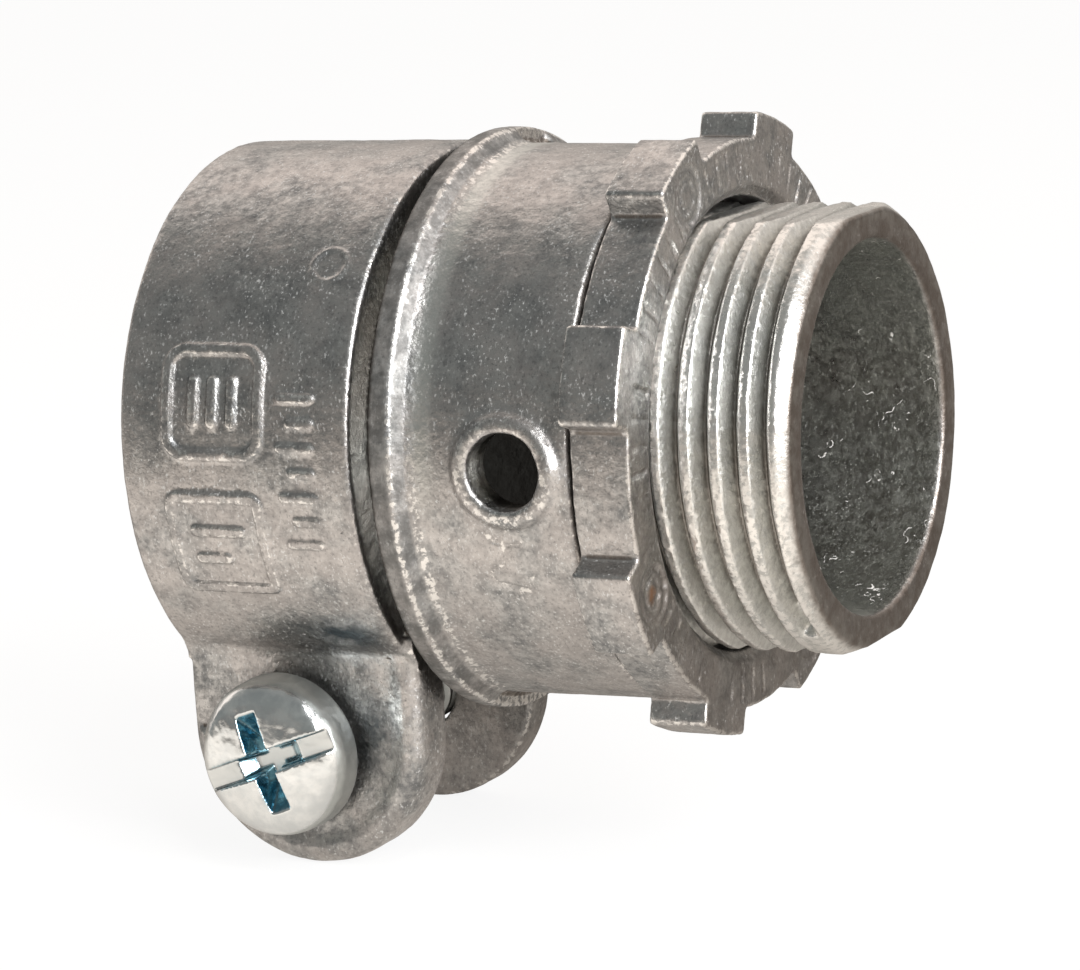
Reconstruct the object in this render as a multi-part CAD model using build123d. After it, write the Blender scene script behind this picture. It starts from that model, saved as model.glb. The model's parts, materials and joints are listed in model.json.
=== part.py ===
from build123d import *
import os
from math import cos, degrees, radians, sin, sqrt, tan

# Squeeze connector for flexible metal conduit, 3/4 inch trade size, die-cast zinc.
# X runs along the conduit with the threaded mouth at +X, Z is up and the clamp ears hang down.
# The origin is on the conduit's axis, in the plane of the shoulder that bears on the box wall.
# Angles round the axis start at -Y, the screw's head side, and turn towards +Z.

# How far cutters run past the faces that they cut, and how closely edges are picked
PAST = 1.0
PICK = 0.01

# Threaded nose and throat
MOUTH_X = 11.9
THREAD_R = 13.335
THREAD_PITCH = 25.4 / 14
THREAD_DEPTH = 1.1
THREAD_START_X = 1.6
THREAD_TURNS = 4.9
GROOVE_ROOT = 0.12
GROOVE_HALF_ANGLE = 28.0
GROOVE_ABOVE = 0.4
NOSE_CHAMFER_X = 11.15
NOSE_END_R = 12.7
FLAT_Z = 12.55
THROAT_R = 10.9
THROAT_ROUND = 0.35

# Sleeve, stop wall and flange
STOP_X = -2.3
SOCKET_R = 14.35
SHOULDER_R = 16.42
SHOULDER_ROUND = 0.4
SLEEVE_BACK_X = -9.5
SLEEVE_BACK_R = 16.55
FLANGE_TOE_X = -10.23
FLANGE_TOE_R = 16.83
FLANGE_FRONT_X = -10.9
FLANGE_R = 17.53
FLANGE_BACK_X = -12.2
FLANGE_ROUND = 0.2
FLANGE_WELD = 0.1
TOP_WINDOW_Y = (0.6, 4.6)
BOTTOM_WINDOW_Y = (-6.4, 1.1)

# Inspection hole in the near side of the sleeve
HOLE_X = -4.0
HOLE_R = 2.225
HOLE_RIM_R = 3.3
HOLE_RIM_TOP_R = 17.0
HOLE_RIM_ROUND = 0.3
HOLE_RIM_SUNK = 0.5

# Clamp ring
RING_R = 16.75
RING_BACK_X = -29.3
RING_FRONT_X = -13.87
RING_ROUND = 0.38
RING_INNER_ROUND = 0.25
HINGE_ANGLE = 111.1
SEAM_GAP = 0.03
FAR_HALF_END = 300.0
NEAR_HALF_START = -80.0
REACH = 40.0
SECTOR_STEPS = 8

# Clamp ears
NEAR_EAR_FOOT = (-21.3, -17.75)
NEAR_EAR_R = 7.95
FAR_EAR_FOOT = (-21.6, -17.95)
FAR_EAR_R = 7.7
EAR_TOP_Z = -10.5
NEAR_EAR_FACE_Y = -11.35
NEAR_EAR_SEAT_Y = -11.0
NEAR_EAR_INNER_Y = -7.75
NEAR_EAR_EDGE_ROUND = 1.15
EAR_INNER_ROUND = 0.35
NEAR_EAR_CORNER_ROUND = 1.7
SEAT_R = 6.45
SEAT_TOP_Z = -12.0
FAR_EAR_INNER_Y = 4.5
FAR_EAR_BACK_Y = 7.4
FAR_EAR_EDGE_ROUND = 0.8

# Clamp screw, number 10-24 pan head with a combination slot and cross drive
SCREW_X = -22.15
SCREW_Z = -18.5
SCREW_R = 2.41
SCREW_PITCH = 25.4 / 24
SCREW_THREAD_DEPTH = 0.62
SCREW_ROOT = 0.1
SCREW_RUN_OUT = 0.75
SCREW_NECK_Y = -8.9
SCREW_TIP_Y = 8.6
SCREW_TIP_CHAMFER = 0.5
HEAD_BASE_Y = -11.8
HEAD_R = 4.88
HEAD_BASE_ROUND = 0.2
HEAD_SIDE_DRAFT = 0.06
HEAD_SIDE_HEIGHT = 1.55
HEAD_SHOULDER_R = 4.5
HEAD_SHOULDER_HEIGHT = 2.35
HEAD_CROWN_R = 3.6
HEAD_CROWN_HEIGHT = 2.95
HEAD_CROWN_MIDDLE = 3.3
HEAD_HEIGHT = 3.42
SLOT_ANGLE = 20.0
SLOT_WIDTH = 1.35
SLOT_DEPTH = 1.2
CROSS_WIDTH = 1.5
CROSS_LENGTH = 7.0
CROSS_DEPTH = 2.1
CROSS_FLOOR_LENGTH = 2.6
CROSS_FLOOR_WIDTH = 0.9
NEAR_EAR_HOLE_R = 2.7
FAR_EAR_HOLE_R = 2.7

# Locknut
NUT_BACK_X = 0.3
NUT_FRONT_X = 3.95
NUT_BASE_R = 16.8
NUT_LUG_R = 18.35
NUT_LUG_WIDTH = 5.7
NUT_LUGS = 8
NUT_FIRST_LUG = 18.5
NUT_BORE_R = 13.4
NUT_CHAMFER_R = 14.1
NUT_CHAMFER_X = 3.35
NUT_CORNER_ROUND = 0.28
NUT_EDGE_ROUND = 0.16
NUT_RIB_COUNT = 64
NUT_RIB_INNER_R = 14.35
NUT_RIB_OUTER_R = 16.45
NUT_RIB_DEPTH = 0.12
NUT_RIB_SIZE = 0.26
NUT_MARK_PLACE_R = 16.1
NUT_MARK_R = 1.6
NUT_MARK_DEPTH = 0.1


def round_axis(angle, radius):
    """Y and Z of a point at this angle and radius round the conduit's axis."""
    return -radius * cos(radians(angle)), radius * sin(radians(angle))


def turned(corners):
    """Solid of revolution about X from a closed list of (x, radius) corners."""
    with BuildPart() as part:
        with BuildSketch(Plane.XY):
            with BuildLine():
                Polyline(*corners, close=True)
            make_face()
        revolve(axis=Axis.X)
    return part.part


def pipe(back_x, front_x, outer_r, inner_r):
    """Plain tube about X."""
    return turned([(back_x, inner_r), (front_x, inner_r), (front_x, outer_r), (back_x, outer_r)])


def rod_x(back_x, front_x, radius):
    """Plain cylinder about X."""
    length = front_x - back_x
    return Pos((back_x + front_x) / 2, 0, 0) * Rot(0, 90, 0) * Cylinder(radius, length)


def rod_y(x, z, low_y, high_y, radius):
    """Plain cylinder along Y."""
    length = high_y - low_y
    return Pos(x, (low_y + high_y) / 2, z) * Rot(90, 0, 0) * Cylinder(radius, length)


def block(low, high):
    """Box from its lowest corner to its highest corner."""
    size = [high[k] - low[k] for k in range(3)]
    middle = [(high[k] + low[k]) / 2 for k in range(3)]
    return Pos(*middle) * Box(*size)


def sector(start_angle, end_angle, back_x, front_x):
    """Wedge about X between two angles, wide enough to cut any ring of this object."""
    points = [(0.0, 0.0)]
    for step in range(SECTOR_STEPS + 1):
        angle = start_angle + (end_angle - start_angle) * step / SECTOR_STEPS
        points.append(round_axis(angle, REACH))
    with BuildPart() as part:
        with BuildSketch(Plane.YZ.offset(back_x)):
            with BuildLine():
                Polyline(*points, close=True)
            make_face()
        extrude(amount=front_x - back_x)
    return part.part


def helical_groove(radius, pitch, depth, root, half_angle, start, length):
    """V groove cutter about Z that stands a little proud of the surface that it cuts."""
    outer = radius + GROOVE_ABOVE
    half_width = root / 2 + (depth + GROOVE_ABOVE) * tan(radians(half_angle))
    helix = Helix(pitch, length, radius, center=(0, 0, start))
    profile = Polyline(
        (outer, 0, start - half_width),
        (radius - depth, 0, start - root / 2),
        (radius - depth, 0, start + root / 2),
        (outer, 0, start + half_width),
        close=True,
    )
    face = make_face(profile)
    return sweep(face, path=helix, is_frenet=True)


def ear_plate(foot, radius, face_y, inner_y, front_round, inner_round):
    """One ear: a plate with a round foot, its rims rounded on both faces."""
    high_y = max(face_y, inner_y)
    low_y = min(face_y, inner_y)
    foot_x, foot_z = foot
    part = rod_y(foot_x, foot_z, low_y, high_y, radius)
    part = part + block((foot_x - radius, low_y, foot_z), (foot_x + radius, high_y, EAR_TOP_Z))
    for y, size in ((face_y, front_round), (inner_y, inner_round)):
        rim = part.edges().filter_by(lambda edge, at=y: abs(edge.center().Y - at) < PICK)
        rim = rim.filter_by(lambda edge: edge.center().Z < EAR_TOP_Z - PICK)
        part = fillet(rim, size)
    return part


def ring(front_x, round_front):
    """Clamp ring with its back edges rounded, and its front outer edge where it is free."""
    part = pipe(RING_BACK_X, front_x, RING_R, SOCKET_R)
    circles = part.edges().filter_by(GeomType.CIRCLE)
    outer = circles.filter_by(lambda edge: edge.radius > RING_R - PICK).sort_by(Axis.X)
    part = fillet(outer if round_front else outer[0], RING_ROUND)
    circles = part.edges().filter_by(GeomType.CIRCLE)
    inner = circles.filter_by(lambda edge: abs(edge.radius - SOCKET_R) < PICK).sort_by(Axis.X)
    return fillet(inner[0], RING_INNER_ROUND)


def casting_core():
    """Threaded nose, stop wall, sleeve and flange as one turned body."""
    part = turned([
        (STOP_X, THROAT_R),
        (MOUTH_X, THROAT_R),
        (MOUTH_X, NOSE_END_R),
        (NOSE_CHAMFER_X, THREAD_R),
        (0, THREAD_R),
        (0, SHOULDER_R),
        (SLEEVE_BACK_X, SLEEVE_BACK_R),
        (FLANGE_TOE_X, FLANGE_TOE_R),
        (FLANGE_FRONT_X, FLANGE_R),
        (FLANGE_BACK_X, FLANGE_R),
        (FLANGE_BACK_X, SOCKET_R),
        (STOP_X, SOCKET_R),
    ])
    circles = part.edges().filter_by(GeomType.CIRCLE)
    shoulder = circles.filter_by(lambda edge: abs(edge.radius - SHOULDER_R) < PICK)
    part = fillet(shoulder, SHOULDER_ROUND)
    circles = part.edges().filter_by(GeomType.CIRCLE)
    lip = circles.filter_by(lambda edge: abs(edge.radius - THROAT_R) < PICK).sort_by(Axis.X)[-1]
    part = fillet(lip, THROAT_ROUND)
    circles = part.edges().filter_by(GeomType.CIRCLE)
    rim = circles.filter_by(lambda edge: abs(edge.radius - FLANGE_R) < PICK)
    return fillet(rim, FLANGE_ROUND)


def thread_flats():
    """The two slabs that trim the thread's top and bottom to flats."""
    above = block((0, -THREAD_R, FLAT_Z), (MOUTH_X + PAST, THREAD_R, THREAD_R + PAST))
    below = block((0, -THREAD_R, -THREAD_R - PAST), (MOUTH_X + PAST, THREAD_R, -FLAT_Z))
    return above, below


def thread_groove():
    """Helical groove of the pipe thread, turned from Z onto X."""
    groove = helical_groove(
        THREAD_R, THREAD_PITCH, THREAD_DEPTH, GROOVE_ROOT, GROOVE_HALF_ANGLE,
        THREAD_START_X, THREAD_TURNS * THREAD_PITCH,
    )
    return Rot(0, 90, 0) * groove


def flange_windows():
    """Two places where the flange's bevel is missing and its flat front shows."""
    cutters = []
    outer = FLANGE_R + PAST
    front_x = SLEEVE_BACK_X + PAST
    shell = pipe(FLANGE_FRONT_X, front_x, outer, SLEEVE_BACK_R)
    for (low_y, high_y), low_z, high_z in ((TOP_WINDOW_Y, 0, outer), (BOTTOM_WINDOW_Y, -outer, 0)):
        window = block((FLANGE_FRONT_X, low_y, low_z), (front_x, high_y, high_z))
        cutters.append(shell & window)
    return cutters


def hole_rim():
    """Raised rim round the inspection hole, following the sleeve's curve."""
    post = rod_y(HOLE_X, 0, -FLANGE_R, -SOCKET_R - HOLE_RIM_SUNK, HOLE_RIM_R)
    part = post & rod_x(HOLE_X - HOLE_RIM_R - PAST, HOLE_X + HOLE_RIM_R + PAST, HOLE_RIM_TOP_R)
    top = part.faces().sort_by(Axis.Y)[0]
    return fillet(top.edges(), HOLE_RIM_ROUND)


def far_half_ring():
    """Far half of the clamp ring, one piece with the flange and the far ear."""
    back_x = RING_BACK_X - PAST
    front_x = FLANGE_BACK_X + PAST
    ear = ear_plate(
        FAR_EAR_FOOT, FAR_EAR_R, FAR_EAR_BACK_Y, FAR_EAR_INNER_Y, FAR_EAR_EDGE_ROUND, EAR_INNER_ROUND,
    )
    part = ring(FLANGE_BACK_X + FLANGE_WELD, False) + ear
    part = part & sector(HINGE_ANGLE, FAR_HALF_END, back_x, front_x)
    part = part & block((back_x, FAR_EAR_INNER_Y, -REACH), (front_x, REACH, REACH))
    part = part - rod_x(back_x, FLANGE_BACK_X + FLANGE_WELD, SOCKET_R)
    low_y = FAR_EAR_INNER_Y - PAST
    return part - rod_y(SCREW_X, SCREW_Z, low_y, FAR_EAR_BACK_Y + PAST, FAR_EAR_HOLE_R)


def body_casting():
    """Threaded nose, sleeve, flange, far half of the ring and far ear, all one casting."""
    part = casting_core() - thread_groove()
    for slab in thread_flats():
        part = part - slab
    for window in flange_windows():
        part = part - window
    part = part + hole_rim()
    part = part - rod_y(HOLE_X, 0, -FLANGE_R - PAST, 0, HOLE_R)
    return part + far_half_ring()


def ear_corner():
    """Filler that rounds the inside corner between the ring and the near ear's face."""
    reach = RING_R + NEAR_EAR_CORNER_ROUND
    centre_y = NEAR_EAR_SEAT_Y - NEAR_EAR_CORNER_ROUND
    centre_z = -sqrt(reach ** 2 - centre_y ** 2)
    touch_y = centre_y * RING_R / reach
    touch_z = centre_z * RING_R / reach
    foot_x = NEAR_EAR_FOOT[0]
    low_x = foot_x - NEAR_EAR_R
    high_x = foot_x + NEAR_EAR_R
    filler = block((low_x, touch_y, centre_z), (high_x, NEAR_EAR_SEAT_Y + PAST, touch_z + PAST))
    hollow = rod_x(low_x - PAST, high_x + PAST, NEAR_EAR_CORNER_ROUND)
    return filler - Pos(0, centre_y, centre_z) * hollow


def screw_seat():
    """Shallow step in the near ear's face that leaves a low rim at its foot and mouth side."""
    depth = NEAR_EAR_SEAT_Y - NEAR_EAR_FACE_Y
    low_y = NEAR_EAR_FACE_Y - depth
    foot_x, foot_z = NEAR_EAR_FOOT
    seat = rod_y(foot_x, foot_z, low_y, NEAR_EAR_SEAT_Y, SEAT_R)
    left_x = foot_x - NEAR_EAR_R - PAST
    return seat + block((left_x, low_y, foot_z), (foot_x + SEAT_R, NEAR_EAR_SEAT_Y, SEAT_TOP_Z))


def clamp_strap():
    """Near half of the clamp ring with the ear under the screw's head."""
    back_x = RING_BACK_X - PAST
    front_x = RING_FRONT_X + PAST
    seam_angle = HINGE_ANGLE - degrees(SEAM_GAP / SOCKET_R)
    band = ring(RING_FRONT_X, True) & sector(NEAR_HALF_START, seam_angle, back_x, front_x)
    band = band - block((back_x, NEAR_EAR_INNER_Y, -REACH), (front_x, REACH, 0))
    ear = ear_plate(
        NEAR_EAR_FOOT, NEAR_EAR_R, NEAR_EAR_FACE_Y, NEAR_EAR_INNER_Y, NEAR_EAR_EDGE_ROUND, EAR_INNER_ROUND,
    )
    ear = ear - screw_seat() + ear_corner()
    ear = ear - rod_x(back_x, front_x, SOCKET_R)
    part = band + ear
    low_y = NEAR_EAR_FACE_Y - PAST
    return part - rod_y(SCREW_X, SCREW_Z, low_y, NEAR_EAR_INNER_Y + PAST, NEAR_EAR_HOLE_R)


def screw_head():
    """Pan head about Z with its seat at zero height, and the slot and cross drive cut in its crown."""
    with BuildPart() as part:
        with BuildSketch(Plane.XZ):
            with BuildLine():
                base = Line((0, 0), (HEAD_R - HEAD_BASE_ROUND, 0))
                corner = Line(base @ 1, (HEAD_R, HEAD_BASE_ROUND))
                side = Line(corner @ 1, (HEAD_R - HEAD_SIDE_DRAFT, HEAD_SIDE_HEIGHT))
                middle = (HEAD_SHOULDER_R, HEAD_SHOULDER_HEIGHT)
                shoulder = ThreePointArc(side @ 1, middle, (HEAD_CROWN_R, HEAD_CROWN_HEIGHT))
                crown = ThreePointArc(shoulder @ 1, (HEAD_CROWN_R / 2, HEAD_CROWN_MIDDLE), (0, HEAD_HEIGHT))
                Line(crown @ 1, base @ 0)
            make_face()
        revolve(axis=Axis.Z)
    floor_z = HEAD_HEIGHT - SLOT_DEPTH
    half_width = SLOT_WIDTH / 2
    past_r = HEAD_R + PAST
    slot = block((-past_r, -half_width, floor_z), (past_r, half_width, HEAD_HEIGHT + PAST))
    head = part.part - slot
    for turn in (0, 90):
        top = Pos(0, 0, HEAD_HEIGHT) * Rot(0, 0, turn) * Rectangle(CROSS_LENGTH, CROSS_WIDTH)
        floor = Rot(0, 0, turn) * Rectangle(CROSS_FLOOR_LENGTH, CROSS_FLOOR_WIDTH)
        floor = Pos(0, 0, HEAD_HEIGHT - CROSS_DEPTH) * floor
        head = head - loft([top.face(), floor.face()])
    return head


def screw_shank():
    """Threaded shank about Z, from the head's seat down to the tip."""
    length = SCREW_TIP_Y - HEAD_BASE_Y
    shank = Pos(0, 0, -length / 2) * Cylinder(SCREW_R, length)
    tip = shank.edges().filter_by(GeomType.CIRCLE).sort_by(Axis.Z)[0]
    shank = chamfer(tip, SCREW_TIP_CHAMFER)
    start = -length - SCREW_RUN_OUT * SCREW_PITCH
    groove = helical_groove(
        SCREW_R, SCREW_PITCH, SCREW_THREAD_DEPTH, SCREW_ROOT, GROOVE_HALF_ANGLE,
        start, HEAD_BASE_Y - SCREW_NECK_Y - start,
    )
    return shank - groove


def clamp_screw():
    """Clamp screw, its head on the near ear and its tip through the far ear."""
    part = screw_head() + screw_shank()
    part = Rot(0, 0, SLOT_ANGLE) * part
    return Pos(SCREW_X, HEAD_BASE_Y, SCREW_Z) * Rot(90, 0, 0) * part


def nut_blank():
    """Locknut's round body with its lugs, all edges rounded."""
    with BuildSketch(Plane.YZ.offset(NUT_BACK_X)) as outline:
        for lug in range(NUT_LUGS // 2):
            angle = NUT_FIRST_LUG + lug * 360 / NUT_LUGS
            Rectangle(2 * NUT_LUG_R + PAST, NUT_LUG_WIDTH, rotation=-angle)
        Circle(NUT_LUG_R, mode=Mode.INTERSECT)
        Circle(NUT_BASE_R)
        fillet(outline.vertices(), NUT_CORNER_ROUND)
    part = extrude(outline.sketch, amount=NUT_FRONT_X - NUT_BACK_X)
    rims = part.edges().filter_by(lambda edge: edge.bounding_box().size.X < PICK)
    return fillet(rims, NUT_EDGE_ROUND)


def locknut():
    """Die-cast locknut with radial ribs on its front face and round ejector marks on four lugs."""
    part = nut_blank() - rod_x(NUT_BACK_X - PAST, NUT_FRONT_X + PAST, NUT_BORE_R)
    slope = (NUT_CHAMFER_R - NUT_BORE_R) / (NUT_FRONT_X - NUT_CHAMFER_X)
    part = part - turned([
        (NUT_CHAMFER_X, 0),
        (NUT_CHAMFER_X, NUT_BORE_R),
        (NUT_FRONT_X + PAST, NUT_CHAMFER_R + slope * PAST),
        (NUT_FRONT_X + PAST, 0),
    ])
    for mark in range(NUT_LUGS // 2):
        y, z = round_axis(NUT_FIRST_LUG + (2 * mark + 1) * 360 / NUT_LUGS, NUT_MARK_PLACE_R)
        low = Pos(NUT_FRONT_X, y, z) * Rot(0, 90, 0) * Cylinder(NUT_MARK_R, 2 * NUT_MARK_DEPTH)
        part = part - low
    groove = Rot(45, 0, 0) * Box(NUT_RIB_OUTER_R - NUT_RIB_INNER_R, NUT_RIB_SIZE, NUT_RIB_SIZE)
    rise = NUT_RIB_SIZE / sqrt(2) - NUT_RIB_DEPTH
    groove = Pos((NUT_RIB_OUTER_R + NUT_RIB_INNER_R) / 2, 0, rise) * groove
    cutters = []
    for rib in range(NUT_RIB_COUNT):
        turn = Rot(0, 0, rib * 360 / NUT_RIB_COUNT)
        cutters.append(Pos(NUT_FRONT_X, 0, 0) * Rot(0, 90, 0) * turn * groove)
    return part.cut(*cutters)


def main():
    os.makedirs("parts", exist_ok=True)
    builders = {
        "body_casting": body_casting,
        "clamp_strap": clamp_strap,
        "clamp_screw": clamp_screw,
        "locknut": locknut,
    }
    for node, build in builders.items():
        export_step(build(), f"parts/{node}.step")


main()
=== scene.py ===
import json
import math

import bmesh
import bpy
import numpy as np
from mathutils import Matrix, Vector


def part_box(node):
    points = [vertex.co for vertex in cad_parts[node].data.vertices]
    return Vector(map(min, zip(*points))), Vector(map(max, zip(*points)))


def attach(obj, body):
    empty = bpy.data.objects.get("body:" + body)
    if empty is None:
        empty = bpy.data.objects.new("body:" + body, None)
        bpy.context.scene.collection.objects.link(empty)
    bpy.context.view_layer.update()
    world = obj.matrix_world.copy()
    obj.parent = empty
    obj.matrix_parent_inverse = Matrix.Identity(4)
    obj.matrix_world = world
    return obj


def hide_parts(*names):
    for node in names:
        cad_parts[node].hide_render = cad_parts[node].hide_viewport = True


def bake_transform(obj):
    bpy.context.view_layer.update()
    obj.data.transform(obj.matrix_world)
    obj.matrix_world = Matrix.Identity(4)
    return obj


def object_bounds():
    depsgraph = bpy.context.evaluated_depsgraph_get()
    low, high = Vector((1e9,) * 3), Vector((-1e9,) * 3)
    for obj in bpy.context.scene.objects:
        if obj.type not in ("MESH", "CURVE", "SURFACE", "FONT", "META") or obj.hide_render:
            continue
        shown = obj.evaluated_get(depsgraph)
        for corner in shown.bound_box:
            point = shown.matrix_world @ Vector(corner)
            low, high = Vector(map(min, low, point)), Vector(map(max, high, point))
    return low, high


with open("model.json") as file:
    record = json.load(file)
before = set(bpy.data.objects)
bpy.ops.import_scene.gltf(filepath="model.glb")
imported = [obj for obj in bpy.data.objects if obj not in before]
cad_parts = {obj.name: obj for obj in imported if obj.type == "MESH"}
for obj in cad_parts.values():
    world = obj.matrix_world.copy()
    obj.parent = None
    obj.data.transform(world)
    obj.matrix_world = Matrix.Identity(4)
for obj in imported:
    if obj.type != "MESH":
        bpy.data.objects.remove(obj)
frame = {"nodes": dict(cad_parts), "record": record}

CAD_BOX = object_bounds()
MM = 0.001
nodes = frame["nodes"]
record = frame["record"]

# Camera: its place, its angles in degrees and its lens in millimetres
CAMERA_PLACE = (0.10065, -0.21611, 0.04165)
CAMERA_AZIMUTH = 27.16
CAMERA_ELEVATION = 10.68
CAMERA_ROLL = -3.32
CAMERA_LENS = 136.0

# Places and sizes that the pieces share: read from the frame where it states them, else as in the CAD
FLOOR_Z = CAD_BOX[0][2]
STRAP_LOW, STRAP_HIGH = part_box("clamp_strap")
SCREW_LOW, SCREW_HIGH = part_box("clamp_screw")
NUT_BACK_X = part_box("locknut")[0][0]
NUT_FACE_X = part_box("locknut")[1][0]
MOUNT = {mount["name"]: mount for mount in record["mounts"]}
THROAT_R = MOUNT["throat"]["dims"]["r_mm"] * MM
SOCKET_R = MOUNT["conduit_socket"]["dims"]["r_mm"] * MM
THREAD_R = MOUNT["nose_thread"]["dims"]["r_mm"] * MM
THREAD_PITCH = 25.4 / 14 * MM
THREAD_DEPTH = 1.1 * MM
THREAD_START_X = 1.6 * MM
THREAD_TURNS = 4.9
GROOVE_ROOT = 0.12 * MM
GROOVE_HALF_ANGLE = 28.0
THREAD_FLAT_Z = 12.55 * MM
RING_R = STRAP_HIGH[2]
FLANGE_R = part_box("body_casting")[1][2]
NUT_LUG_R = 18.35 * MM
NUT_BASE_R = 16.8 * MM
NUT_BORE_R = 13.4 * MM
SLEEVE_R = 16.42 * MM
FLANGE_TOE_X = -10.23 * MM
TOE_BAND_X = -9.85 * MM
SHEEN_X = -9.2 * MM
STOP_X = -2.3 * MM
FLANGE_FRONT_X = -10.9 * MM
FLANGE_BACK_X = -12.2 * MM
RING_FRONT_X = -13.87 * MM
HINGE_ANGLE = 111.1
SCREW_X = (SCREW_LOW[0] + SCREW_HIGH[0]) / 2
SCREW_Z = (SCREW_LOW[2] + SCREW_HIGH[2]) / 2
HEAD_R = (SCREW_HIGH[0] - SCREW_LOW[0]) / 2
EAR_R = 7.95 * MM
EAR_FOOT_X = STRAP_HIGH[0] - EAR_R
EAR_FOOT_Z = STRAP_LOW[2] + EAR_R
HOLE_X = -4.0 * MM


# ---------------------------------------------------------------- meshes as arrays

def read_mesh(mesh):
    """Vertex places and triangles of a mesh."""
    mesh.calc_loop_triangles()
    places = np.empty(len(mesh.vertices) * 3)
    mesh.vertices.foreach_get("co", places)
    corners = np.empty(len(mesh.loop_triangles) * 3, dtype=np.int32)
    mesh.loop_triangles.foreach_get("vertices", corners)
    return places.reshape(-1, 3), corners.reshape(-1, 3)


def read_normals(mesh):
    """Vertex normals of a mesh."""
    normals = np.empty(len(mesh.vertices) * 3)
    mesh.vertices.foreach_get("normal", normals)
    return normals.reshape(-1, 3)


def read_edges(mesh):
    """Both ends of each edge of a mesh."""
    ends = np.empty(len(mesh.edges) * 2, dtype=np.int32)
    mesh.edges.foreach_get("vertices", ends)
    return ends.reshape(-1, 2)


def write_places(mesh, places):
    """Move a mesh's vertices."""
    mesh.vertices.foreach_set("co", places.ravel())
    mesh.update()


def neighbour_mean(values, edges, counts):
    """Mean of each vertex's neighbours, for a column or for three."""
    total = np.zeros_like(values)
    for near, far in ((0, 1), (1, 0)):
        if values.ndim == 1:
            total += np.bincount(edges[:, near], values[edges[:, far]], len(values))
        else:
            for k in range(values.shape[1]):
                total[:, k] += np.bincount(edges[:, near], values[edges[:, far], k], len(values))
    return total / (counts if values.ndim == 1 else counts[:, None])


def lattice_noise(places, size, seed):
    """Smooth noise from -1 to 1 with this cell size."""
    period = 48
    table = np.random.default_rng(seed).uniform(-1.0, 1.0, (period, period, period))
    cell = places / size
    low = np.floor(cell).astype(np.int64)
    part = cell - low
    ease = part * part * (3.0 - 2.0 * part)
    total = np.zeros(len(places))
    for i in (0, 1):
        for j in (0, 1):
            for k in (0, 1):
                corner = low + (i, j, k)
                weight = np.ones(len(places))
                for axis, step in enumerate((i, j, k)):
                    weight *= ease[:, axis] if step else 1.0 - ease[:, axis]
                index = corner % period
                total += weight * table[index[:, 0], index[:, 1], index[:, 2]]
    return total


def smoothstep(low, high, value):
    """From 0 at low to 1 at high, eased at both ends."""
    part = np.clip((value - low) / (high - low), 0.0, 1.0)
    return part * part * (3.0 - 2.0 * part)


def mesh_of(bm, name):
    """A new mesh from a bmesh, which is freed."""
    mesh = bpy.data.meshes.new(name)
    bm.to_mesh(mesh)
    bm.free()
    return mesh


def cad_bmesh(node):
    """A closed bmesh copy of a CAD node."""
    bm = bmesh.new()
    bm.from_mesh(nodes[node].data)
    bmesh.ops.remove_doubles(bm, verts=bm.verts, dist=1e-7)
    return bm


def cut_at(bm, x, keep_front):
    """Cut a closed bmesh by the plane at x, keep one side and cap it; the cap's vertices."""
    geometry = bm.verts[:] + bm.edges[:] + bm.faces[:]
    result = bmesh.ops.bisect_plane(
        bm, geom=geometry, dist=1e-9, plane_co=(x, 0, 0), plane_no=(1, 0, 0),
        clear_inner=keep_front, clear_outer=not keep_front,
    )
    edges = [item for item in result["geom_cut"] if isinstance(item, bmesh.types.BMEdge)]
    bmesh.ops.triangle_fill(bm, edges=edges, use_beauty=True)
    return [item for item in result["geom_cut"] if isinstance(item, bmesh.types.BMVert)]


def evaluated(mesh, name, kind, **settings):
    """The mesh that one modifier makes of another, which is removed."""
    holder = bpy.data.objects.new(name, mesh)
    bpy.context.scene.collection.objects.link(holder)
    modifier = holder.modifiers.new(kind.lower(), kind)
    for key, value in settings.items():
        setattr(modifier, key, value)
    graph = bpy.context.evaluated_depsgraph_get()
    result = bpy.data.meshes.new_from_object(holder.evaluated_get(graph))
    bpy.data.objects.remove(holder)
    bpy.data.meshes.remove(mesh)
    return result


MOST_FACES = 196000


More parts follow.
